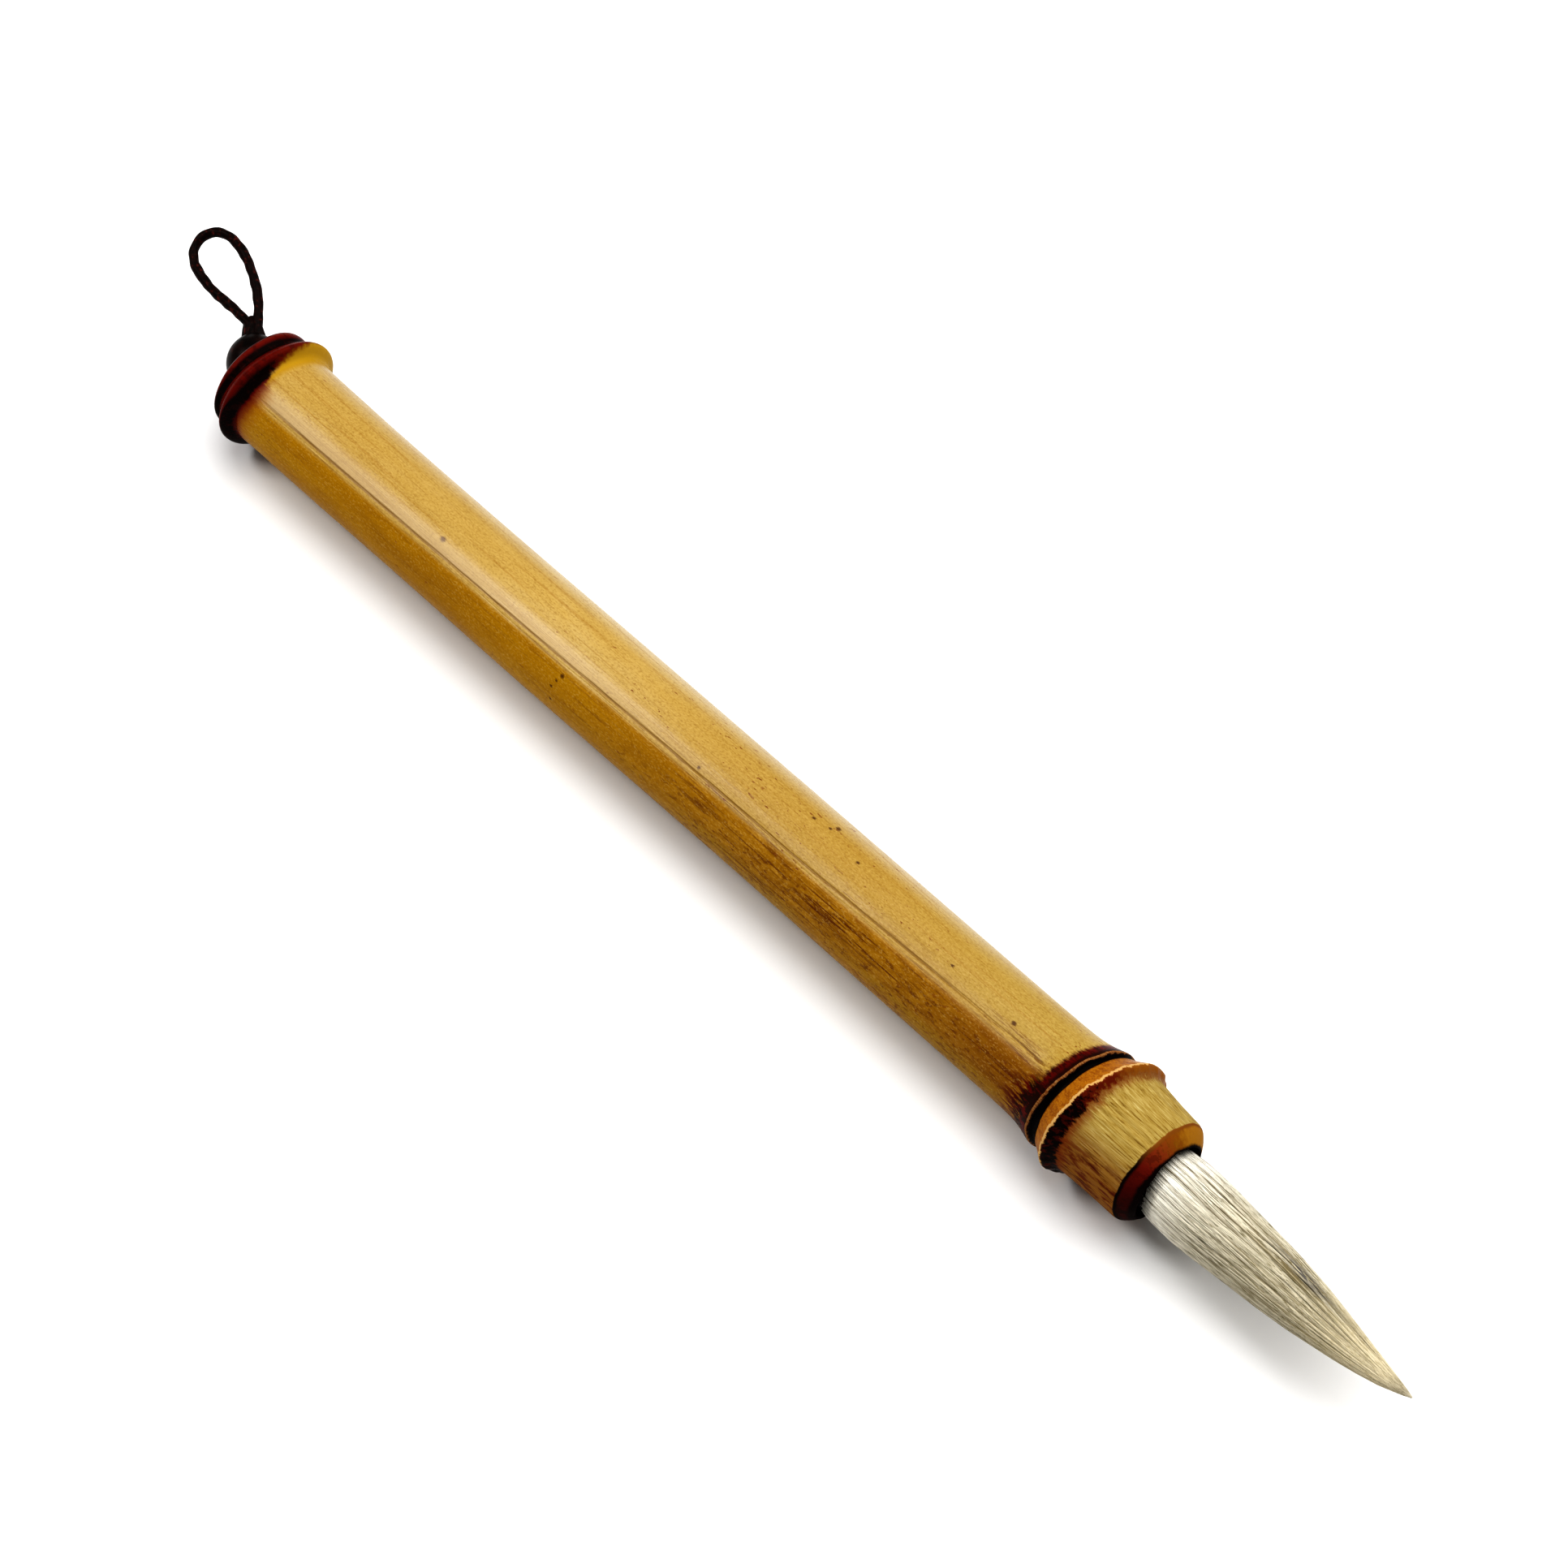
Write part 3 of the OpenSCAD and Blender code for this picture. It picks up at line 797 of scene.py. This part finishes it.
def make_web():
    """Hardened lacquer that fills the crotch between the loop's two sides."""
    turn = even_turns(LOOP_SIDES)
    reach = np.linspace(3.2, 7.4, 26)
    share = (reach - reach[0]) / (reach[-1] - reach[0])
    half = 2.0 - 0.85 * share
    half = half * np.sqrt(np.clip(1 - share**6, 0.001, 1))
    thick = (0.80 - 0.40 * share) * np.sqrt(np.clip(1 - share**8, 0.001, 1))
    middle = reach[:, None] * OUT + (-0.30 * share)[:, None] * BESIDE
    web_flat = middle[:, None, :] + (half[:, None] * np.cos(turn))[..., None] * BESIDE
    web = lathe_piece("loop_lacquer", from_knob(web_flat, thick[:, None] * np.sin(turn)), {})
    web.data.materials.append(LACQUER)
    root, free = loop_bend()
    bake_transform(web)


# -------------------- knob


def make_knob():
    """The dark knob, drawn up towards the cord that is set in it."""
    polar = np.linspace(0.02, math.pi * 0.98, 60)
    turn = even_turns(72)
    drawn = 0.55 * bump_at(polar, 0, 0.42)
    lumps = 0.05 * ripple(turn, 5, 2, 6)[None, :] * np.sin(polar)[:, None]
    lumps = lumps + 0.04 * np.sin(3.1 * polar)[:, None]
    radius = (KNOB_R + drawn)[:, None] + lumps
    out = radius * np.cos(polar)[:, None]
    beside = radius * np.sin(polar)[:, None] * np.cos(turn)
    facing = radius * np.sin(polar)[:, None] * np.sin(turn)
    rows = from_knob(out[..., None] * OUT + beside[..., None] * BESIDE, facing)
    knob = lathe_piece("knob", rows, {})
    knob.data.materials.append(LACQUER)
    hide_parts("end_knob")
    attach(knob, "handle")


# -------------------- culm

# Columns round the culm, and the turn angle of its lengthwise groove about halfway along
COLUMNS = 236
GROOVE_TURN = 1.72


def culm_outline():
    """Half profile of the culm, as (station, radius, inside the socket)."""
    r = LOW_RIDGE_S
    a = SCAR_S
    outer = [
        (0, 0.4), (0, 2.7), (0.9, 3.8), (1.8, 5.0), (2.4, 6.1), (2.9, 7.05), (3.4, 7.62), (3.9, 7.8),
        (4.4, 7.68), (4.9, 7.3), (5.3, 7.45), (5.7, 7.85), (6.4, 8.6), (7.1, RIDGE_R), (7.6, 8.95),
        (8.05, 8.4), (8.45, 7.8), (9.0, 7.4), (10.0, 7.28), (12, 7.24), (15, 7.23), (30, 7.15),
        (90, 7.04), (150, 7.0), (a - 7, 7.02), (a - 4, 7.15), (a - 2, 7.5), (a - 0.7, 7.9),
        (a - 0.25, 8.0), (a, 7.96), (a + 0.1, 7.78), (a + 0.6, 7.7), (a + 1.2, 7.85), (a + 2, 8.2),
        (r - 0.6, 8.75), (r - 0.2, 9.0), (r + 0.1, RIDGE_R + 0.08), (r + 0.45, 8.8), (r + 0.95, 8.25),
        (r + 1.6, 7.9), (r + 3, 7.75), (r + 6, 7.55), (RIM_S - 0.4, 7.42), (RIM_S, 7.38),
        (RIM_S + 0.2, 7.25), (RIM_S + 0.8, 6.75), (CULM_L - 0.2, 6.0), (CULM_L, 5.75),
    ]
    outer = np.array([(s, radius, 0) for s, radius in outer])
    inner = np.array([
        (CULM_L - 0.1, SOCKET_R + 0.06, 0.2), (CULM_L - 0.5, SOCKET_R, 1), (CULM_L - 3, SOCKET_R, 1),
        (SOCKET_FLOOR_S, SOCKET_R, 1), (SOCKET_FLOOR_S, 0.4, 1),
    ])

    def spacing(point):
        at_node = point[0] < 14 or point[0] > r - 8
        return 0.6 if point[2] > 0.5 else (0.18 if at_node else 1.0)

    return resampled(np.vstack([rounded(outer, 2), rounded(inner, 1)]), spacing)


def culm_turns():
    """Turn angles of the columns, close together at the lengthwise groove."""
    fine = np.linspace(0, 2 * math.pi, 4001)
    crowd = 1 + 5 * bump_at(fine, GROOVE_TURN, 0.11)
    total = np.concatenate([[0], np.cumsum((crowd[1:] + crowd[:-1]) / 2)])
    return np.interp(np.arange(COLUMNS) / COLUMNS * total[-1], total, fine)[None, :]


def sheath_groove(station, far):
    """Depth of the groove under the sheath scar, narrow on the far side and wide on the near side."""
    width = 0.55 + 0.75 * (1 - far) / 2
    cut = smoothstep(station, SCAR_S, SCAR_S + 0.12)
    return 0.45 * cut * (1 - smoothstep(station, SCAR_S + width, SCAR_S + width + 0.15))


def uneven_nodes(station, turn, far):
    """(swelling, shift along the brush) of the uneven nodes and the ridge's edge."""
    at_low = bump_at(station, LOW_RIDGE_S, 1.4)
    at_top = bump_at(station, 5, 5)
    swell = at_low * 0.10 * ripple(turn, 11, 2, 9) + at_top * 0.07 * ripple(turn, 12, 2, 7)
    swell = swell + 0.04 * np.sin(station * 0.09 + 1) * np.cos(2 * turn + station * 0.01)
    steep = smoothstep(-far, 0.3, 0.85)
    swell = swell - steep * (0.75 * bump_at(station, 8.15, 0.62) + 0.35 * bump_at(station, 6.1, 0.5))
    shift = at_low * (0.13 * ripple(turn, 13, 5, 24) + 0.05 * ripple(turn, 14, 20, 60))
    shift = shift + bump_at(station, SCAR_S - 0.2, 0.9) * 0.08 * ripple(turn, 15, 3, 12)
    return swell, shift + at_top * 0.12 * ripple(turn, 16, 2, 8)


def skin_groove(station, off):
    """Depth of the lengthwise groove: a fine line, a second one beside it and a flatter strip."""
    line = bump_at(off + 0.05 * np.sin(station * 0.8), 0, 0.14)
    second = bump_at(off, 0.55 + 0.1 * np.sin(station * 0.21), 0.09)
    second = second * smoothstep(np.sin(station * 0.11), -0.3, 0.5)
    return 0.045 * line + 0.03 * second + 0.12 * bump_at(off, -0.2, 1.1)


def shaved_neck(station, turn):
    """Swelling of the neck's fine facets along the fibres."""
    neck = smoothstep(station, LOW_RIDGE_S + 1.2, LOW_RIDGE_S + 2.5)
    neck = neck * (1 - smoothstep(station, RIM_S - 0.3, RIM_S))
    return neck * (0.045 * ripple(turn + 0.004 * station, 21, 14, 46, 12) + 0.06 * ripple(turn, 22, 3, 9))


def mouth_reach(turn):
    """How far the mouth's edge reaches out, furthest on the low side."""
    low = 0.75 * np.clip(np.cos(turn - 2.35), 0, 1) ** 1.5
    return low + 0.45 * np.clip(np.cos(turn - 0.2), 0, 1) ** 2


def culm_rows(station, radius, shift, turn, outer):
    """Points of the culm. The nodes' planes lean, and the ends sit a little off the axis."""
    far, facing = np.cos(turn), np.sin(turn)
    lean = outer * np.interp(
        station, [0, 3, 5.2, 10, 30, 150, 166, 173, 181, 190],
        [0.036, 0.036, 0.14, 0.13, 0, 0, 0.155, 0.155, 0.03, 0.03],
    )
    near_lean = outer * np.interp(
        station, [0, 7.5, 10, 14, 150, 166, 173, 181, 182.5, 190],
        [0.10, 0.10, 0.04, 0, 0, -0.02, 0, 0.06, 0.11, 0.11],
    )
    drift = np.interp(
        station, [0, 4, 7.5, 10, 25, 60, 110, 165, 172, 181, 190],
        [0.25, 0.05, -0.08, -0.25, -0.38, -0.32, -0.02, 0.04, 0.08, -0.35, -0.35],
    )
    along = station + lean * radius * far + near_lean * radius * facing + shift
    rows = place(along, drift + radius * far, radius * facing)
    rows[..., 2] = np.maximum(rows[..., 2], FLOOR_Z)
    return rows


def make_culm():
    outline = culm_outline()
    station, radius, inside = outline[:, :1], outline[:, 1:2], outline[:, 2:]
    outer = 1 - inside
    # the lengthwise groove wanders a little from end to end, and the columns follow it
    wander = np.interp(station, [0, 45, 95, 120, 150, 175], [1.83, 1.77, 1.69, 1.66, 1.55, 1.50])
    turn = culm_turns()
    turn = turn + (wander - GROOVE_TURN) * bump_at(turn, GROOVE_TURN, 0.7)
    far = np.cos(turn)

    swell, shift = uneven_nodes(station, turn, far)
    radius = radius + outer * (swell - sheath_groove(station, far))
    off = (turn - wander) * radius
    shaft = smoothstep(station, 9.5, 13) * (1 - smoothstep(station, SCAR_S - 5, SCAR_S - 1)) * outer
    radius = radius - skin_groove(station, off) * shaft
    radius = radius + outer * shaved_neck(station, turn)
    rim = smoothstep(station, RIM_S - 0.6, RIM_S) * outer
    mouth = smoothstep(station, RIM_S + 0.2, CULM_L) * outer
    shift = shift + rim * 0.07 * ripple(turn, 23, 3, 14) + mouth * mouth_reach(turn)
    radius = radius - 0.45 * mouth * np.clip(far, 0, 1)

    rows = culm_rows(station, radius, shift, turn, outer)
    marks = {"station": station, "far": far, "inside": inside, "off": off, "shaft": shaft}
    full = {key: np.broadcast_to(values, rows.shape[:2]) for key, values in marks.items()}
    culm = lathe_piece("culm_bamboo", rows, full)
    culm.data.materials.append(bamboo_material())
    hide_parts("culm")
    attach(culm, "handle")


# -------------------- tuft

# Radius of the tuft at each distance beyond the lip
HAIR_SHAPE = [
    (-2.0, 4.70), (0, 4.75), (2.5, 4.95), (5.0, 4.95), (7.3, 4.82), (13.5, 4.36), (19.6, 3.94), (23.7, 3.50),
    (27.8, 2.88), (31.8, 2.23), (35.8, 1.48), (38.7, 0.80), (40.2, 0.38), (40.9, 0.10),
]
# The tuft's middle at each distance beyond the lip, as (distance, towards FAR, towards FACING)
HAIR_MIDDLE = [
    (-3.5, -0.2, -0.3), (-1.0, -0.35, -0.42), (1, -0.5, -0.40), (7, -0.62, -0.35), (17, -0.66, -0.3),
    (27, -0.80, -0.3), (32, -0.90, -0.3), (37, -0.85, -0.3), (41, -0.55, -0.3),
]
# Length of the free hair, number of locks, and the share of the radius that the body under them takes
HAIR_L = 41.0
LOCKS = 150
LAYER = 0.93
# Strands in each of the two pieces, and the rings of points and sides of one
STRANDS = 2200
STRAND_RINGS = 15
STRAND_SIDES = 3


def hair_radius(beyond):
    """Radius of the tuft at a distance beyond the lip."""
    shape = np.array(HAIR_SHAPE)
    return np.interp(beyond, shape[:, 0], shape[:, 1])


def hair_middle(beyond):
    """How far the tuft's middle sits from the axis towards FAR and FACING: it droops a little."""
    middle = np.array(HAIR_MIDDLE)
    return np.interp(beyond, middle[:, 0], middle[:, 1]), np.interp(beyond, middle[:, 0], middle[:, 2])


def hair_place(beyond, turn, share):
    """Points of the tuft, with share 1 on its outer skin."""
    across, facing = hair_middle(beyond)
    radius = hair_radius(beyond) * share
    return place(beyond + CULM_L, across + radius * np.cos(turn), facing + radius * np.sin(turn))


def glue_and_shade_edge(turn):
    """How far beyond the lip the dark root reaches, partly glue and partly painted shade: furthest on the
    low side that faces the camera.
    """
    ragged = 0.10 * np.sin(23 * turn) + 0.08 * np.sin(41 * turn + 1)
    return 1.05 * np.clip(np.cos(turn - 2.45), 0, 1) ** 2 - 0.35 + ragged


def hair_marks(beyond, turn, tone, glue_shaded=True):
    """Attributes of the hair: where it is along the tuft, its tone, ash-grey hairs and the dark root, partly
    glue and partly painted shade.
    """
    beyond, turn, tone = np.broadcast_arrays(beyond, turn, tone)
    ash = bump_at(np.angle(np.exp(1j * (turn - 0.78))), 0, 0.22) * bump_at(beyond, 22.5, 5)
    # the dark root: partly glue and partly painted shade
    glue_and_shade = (1 - smoothstep(beyond - glue_and_shade_edge(turn), 0, 0.15)) * glue_shaded
    return {"reach": beyond / HAIR_L, "tone": tone, "ash": ash, "glue_and_shade": glue_and_shade}


def make_hair_body():
    """The mass of the tuft under its locks."""
    beyond = resampled(np.array([(-2.0, 0), (HAIR_L, 0)]), lambda p: 0.4 if 3 < p[0] < 36 else 0.2)[:, :1]
    beyond = np.vstack([[[-3.2]], [[-2.9]], [[-2.4]], beyond])
    turn = even_turns(180)[None, :]
    share = LAYER * np.interp(beyond, [-3.2, -2.9, -2.4, -2, 38, HAIR_L], [0.05, 0.6, 0.93, 1, 1, 0.7])
    share = share * (1 + 0.02 * ripple(turn + 0.02 * beyond, 30, 9, 40, 12))
    # painted shade: the body under the locks gets a lower tone and darker colours than the strands, for the
    # gaps between the locks
    tone = 0.35 + 0.2 * ripple(turn + 0.01 * beyond, 33, 20, 60, 12)
    body = lathe_piece("tuft_body", hair_place(beyond, turn, share), hair_marks(beyond, turn, tone))
    body.data.materials.append(hair_material("hair_body", (0.48, 0.44, 0.35), (0.22, 0.18, 0.11)))
    return body


def make_locks():
    """Where each lock of hair runs: turn, wave, how far it reaches, how proud and how light it is."""
    chance = np.random.default_rng(40)
    spread = (np.arange(LOCKS) + chance.uniform(-0.35, 0.35, LOCKS)) / LOCKS * 2 * math.pi
    return [{
        "turn": spread[i],
        "swing": chance.normal(0, 0.05),
        "rate": chance.uniform(1.5, 4.5),
        "phase": chance.uniform(0, 2 * math.pi),
        "drift": chance.normal(0, 0.10),
        "end": chance.uniform(37.5, HAIR_L) if chance.random() < 0.6 else chance.uniform(22, 38),
        "lift": chance.uniform(0.0, 0.040),
        "tone": chance.normal(0, 0.10),
    } for i in range(LOCKS)]


def strand_ends(chance, lock, aside, loose):
    """Where a strand starts and ends beyond the lip. Loose ones end anywhere in the outer half."""
    root = glue_and_shade_edge(lock["turn"] + aside) + chance.uniform(-0.15, 0.22)
    begin = root if chance.random() < 0.8 else chance.uniform(0, 16)
    end = chance.uniform(20, HAIR_L) if loose else min(HAIR_L, lock["end"] + chance.normal(0, 1.3))
    return begin, max(end, begin + 9)


def strand_course(chance, lock, aside, loose, beyond, u):
    """(turn, points) along a strand that gathers into its lock and waves with it."""
    along = np.clip(beyond / HAIR_L, 0, 1)
    gather = 1 - 0.72 * smoothstep(beyond, 2, lock["end"] - 1)
    wave = lock["swing"] * np.sin(lock["rate"] * math.pi * along + lock["phase"]) + lock["drift"] * along
    own = chance.normal(0, 0.010) * np.sin(u * math.pi * chance.uniform(1.5, 4) + chance.uniform(0, 6))
    turn = lock["turn"] + aside * gather + wave * smoothstep(beyond, 0, 10) + own * (1 + along)
    proud = lock["lift"] * smoothstep(beyond, 0, 8) + 0.015 * math.exp(-((aside / 0.03) ** 2))
    ends = 0.035 * (1 - np.sin(math.pi * np.clip(u + 0.05, 0.02, 0.98)) ** 0.35)
    share = LAYER + 0.012 + proud + abs(chance.normal(0, 0.008)) - ends + (0.012 if loose else 0)
    return turn, hair_place(beyond, turn, np.minimum(share, 1.0))


def strand_corners(line, turn, thick, roll):
    """The corner points of a strand's tube round its line."""
    corners = even_turns(STRAND_SIDES) + roll
    heading = np.gradient(line, axis=0)
    heading /= np.linalg.norm(heading, axis=1)[:, None]
    outward = np.cos(turn)[:, None] * FAR + np.sin(turn)[:, None] * FACING
    beside = np.cross(heading, outward)
    ring = np.cos(corners)[:, None] * beside[:, None, :] + np.sin(corners)[:, None] * outward[:, None, :]
    return (line[:, None, :] + thick[:, None, None] * ring).reshape(-1, 3)


def strand_faces(start):
    """A strand's sides and its two closed ends, for corner points that begin at start."""
    last = start + (STRAND_RINGS - 1) * STRAND_SIDES
    root = tuple(start + k for k in range(STRAND_SIDES))
    tip = tuple(last + k for k in reversed(range(STRAND_SIDES)))
    return [*tube_faces(STRAND_RINGS, STRAND_SIDES, start), root, tip]


def make_strands(name, seed, locks, thickness):
    """Fine tapering strands gathered in locks, each a closed tube of three sides."""
    chance = np.random.default_rng(seed)
    u = np.linspace(0, 1, STRAND_RINGS) ** 1.15
    vertices, faces, marks = [], [], []
    for i in range(STRANDS):
        lock = locks[i % len(locks)]
        loose = chance.random() < 0.12
        aside = chance.normal(0, 0.034)
        begin, end = strand_ends(chance, lock, aside, loose)
        beyond = begin + (end - begin) * u
        turn, line = strand_course(chance, lock, aside, loose, beyond, u)
        thick = thickness * chance.uniform(0.7, 1.3) * (1 - 0.75 * u**1.5) * np.minimum(1, 0.9 + 4 * u)
        vertices.append(strand_corners(line, turn, thick, i))
        faces.extend(strand_faces(i * STRAND_RINGS * STRAND_SIDES))
        # painted shade: strands at the sides of a lock get a lower tone, darker between the locks
        tone = np.clip(0.56 + lock["tone"] + chance.normal(0, 0.12) - 2.4 * abs(aside), 0, 1)
        tones = np.full((STRAND_RINGS, STRAND_SIDES), tone)
        marks.append(hair_marks(beyond[:, None], turn[:, None], tones, glue_shaded=False))
    full = {key: np.concatenate([m[key] for m in marks]) for key in marks[0]}
    piece = mesh_piece(name, np.vstack(vertices), faces, full)
    piece.data.materials.append(STRAND_HAIR)
    return piece


def make_tuft():
    body = make_hair_body()
    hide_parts("hair_core", "hair_belly", "hair_cover")
    locks = make_locks()
    thick = make_strands("tuft_strands_a", 41, locks, 0.072)
    fine = make_strands("tuft_strands_b", 42, locks, 0.056)
    start = place(CULM_L - 1.8, 0, 0) * MM
    end = place(CULM_L + 4.2, 0, 0) * MM
    for piece in (body, thick, fine):
        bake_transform(piece)


# -------------------- pieces that stay as CAD made them

# (node, material, light colour, dark colour, grain in turns per millimetre, roughness)
INNER_PIECES = [
    ("socket_glue", "hard_glue", (0.24, 0.11, 0.04), (0.10, 0.04, 0.015), (0.8, 0.8, 0.8), 0.3),
    ("root_seal", "rosin", (0.42, 0.20, 0.05), (0.20, 0.08, 0.02), (0.5, 0.5, 0.5), 0.15),
    ("root_binding", "thread", (0.78, 0.72, 0.60), (0.45, 0.40, 0.30), (3.0, 3.0, 3.0), 0.6),
    ("tuft_root", "root_hair", (0.70, 0.64, 0.50), (0.30, 0.25, 0.16), (0.1, 4.0, 4.0), 0.5),
]


def finish_inner_pieces():
    for node, *looks in INNER_PIECES:
        material = plain_material(*looks)
        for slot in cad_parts[node].material_slots:
            slot.material = material


make_camera()
LACQUER = lacquer_material()
STRAND_HAIR = hair_material("hair_strands", (0.69, 0.64, 0.51), (0.22, 0.18, 0.11))
make_loop()
make_web()
make_studio()
make_knob()
make_culm()
make_tuft()
finish_inner_pieces()
